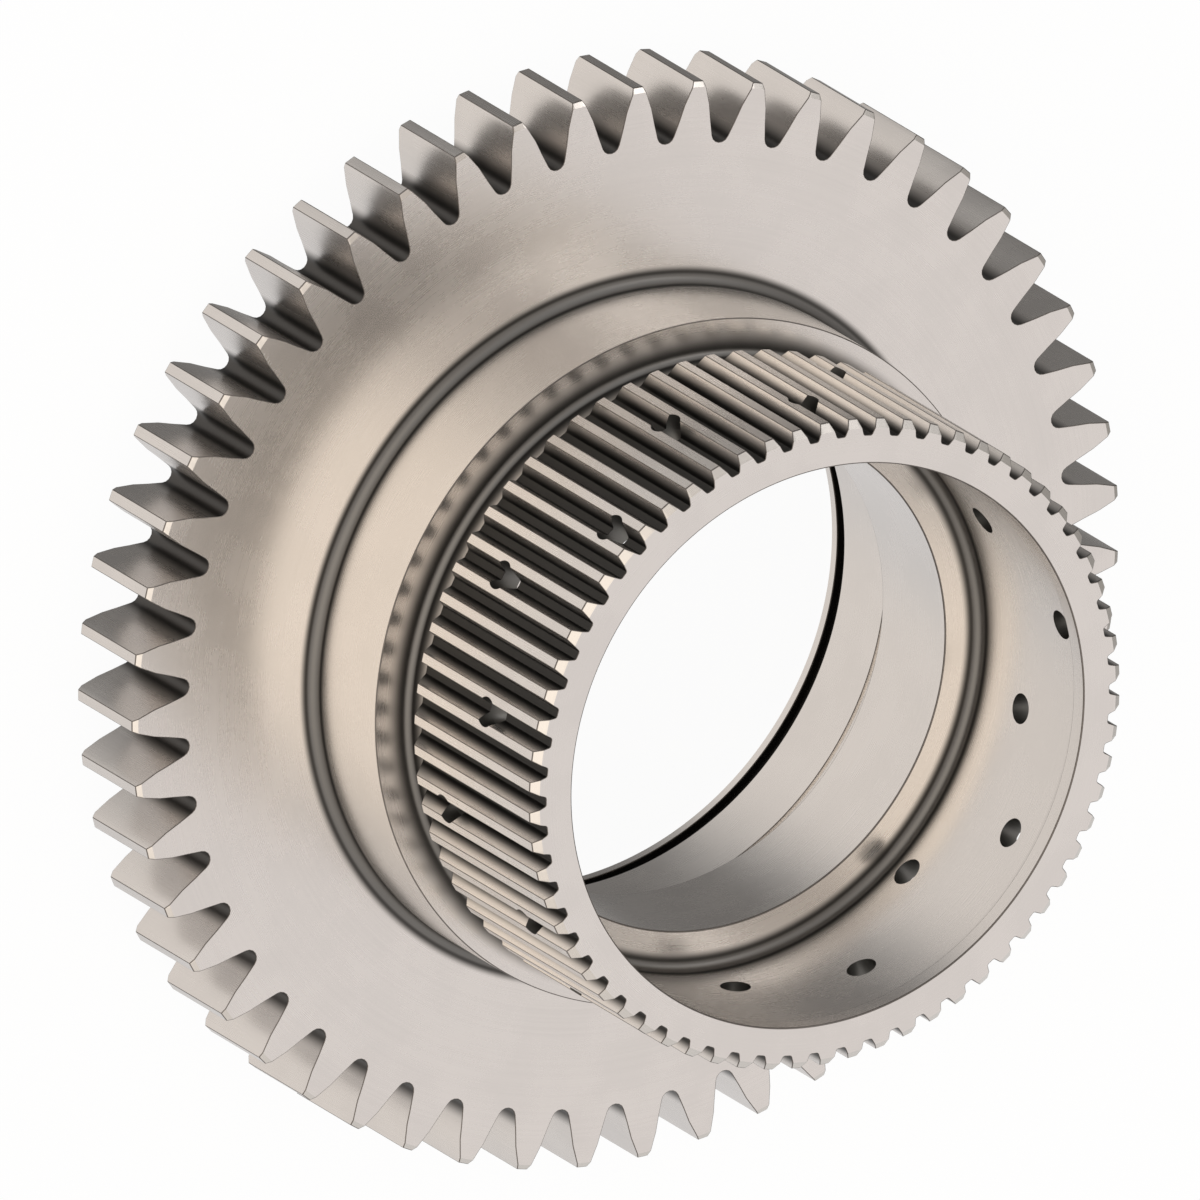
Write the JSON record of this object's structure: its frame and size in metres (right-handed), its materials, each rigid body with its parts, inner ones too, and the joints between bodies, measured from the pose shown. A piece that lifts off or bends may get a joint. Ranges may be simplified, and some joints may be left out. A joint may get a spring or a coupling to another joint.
{
  "type": "driven gear with splined clutch hub",
  "caption": "Steel spur gear with tall teeth and a stepped hollow hub in front, splined outside for clutch plates, drilled for oil and bored behind for a bearing.",
  "frame": {"origin": "on the gear axis, in the rear face of the boss that the part lies on", "axes": "+Z along the gear axis, from the rear boss towards the open end of the splined hub; +X through the middle of a gear tooth gap, a spline gap and an oil hole of the first row"},
  "size_m": [0.2023, 0.2024, 0.095],
  "materials": {
    "steel": "satin, machined and hardened"
  },
  "bodies": {
    "root": {"driven_gear": "steel"}
  },
  "joints": []
}
